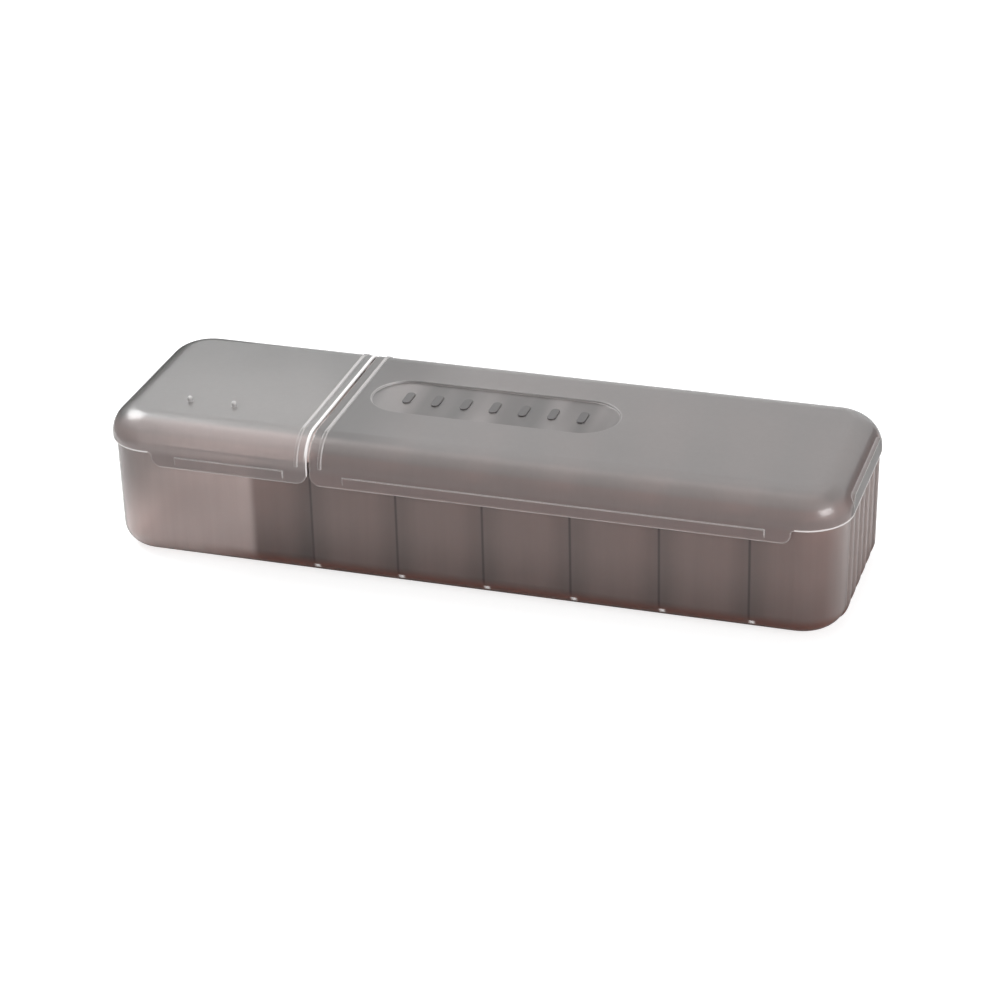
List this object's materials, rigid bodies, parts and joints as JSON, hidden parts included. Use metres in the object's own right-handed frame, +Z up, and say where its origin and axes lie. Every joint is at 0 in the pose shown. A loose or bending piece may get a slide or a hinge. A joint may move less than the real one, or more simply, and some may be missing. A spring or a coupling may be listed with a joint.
{
  "type": "cable organizer box",
  "caption": "Long rounded storage box of smoky translucent plastic, with a row of divided bays under a short and a long hinged lid that snap shut in front.",
  "frame": {"origin": "middle of the flat underside of the tray", "axes": "+Z up, +X along the box towards the long lid's end, -Y towards the side where the lids snap shut"},
  "size_m": [0.27, 0.0882, 0.0563],
  "materials": {
    "smoky_tray": "fine satin, smoky translucent",
    "smoky_lid": "satin, smoky translucent",
    "smoky_divider": "satin, smoky translucent",
    "hinge_pin": "satin"
  },
  "bodies": {
    "box": {"tray": "smoky_tray", "divider_1": "smoky_divider", "divider_2": "smoky_divider", "divider_3": "smoky_divider", "divider_4": "smoky_divider", "divider_5": "smoky_divider", "divider_6": "smoky_divider", "small_lid_pin_left": "hinge_pin", "small_lid_pin_right": "hinge_pin", "large_lid_pin_left": "hinge_pin", "large_lid_pin_middle": "hinge_pin", "large_lid_pin_right": "hinge_pin"},
    "small_lid": {"small_lid": "smoky_lid"},
    "large_lid": {"large_lid": "smoky_lid"}
  },
  "joints": [
    {"name": "small_lid_hinge", "type": "hinge", "parent": "box", "child": "small_lid", "pos_m": [-0.10705, 0.04325, 0.0394], "axis": [-1, 0, 0], "range_deg": [0, 110]},
    {"name": "large_lid_hinge", "type": "hinge", "parent": "box", "child": "large_lid", "pos_m": [0.0341, 0.04325, 0.0394], "axis": [-1, 0, 0], "range_deg": [0, 110]}
  ]
}
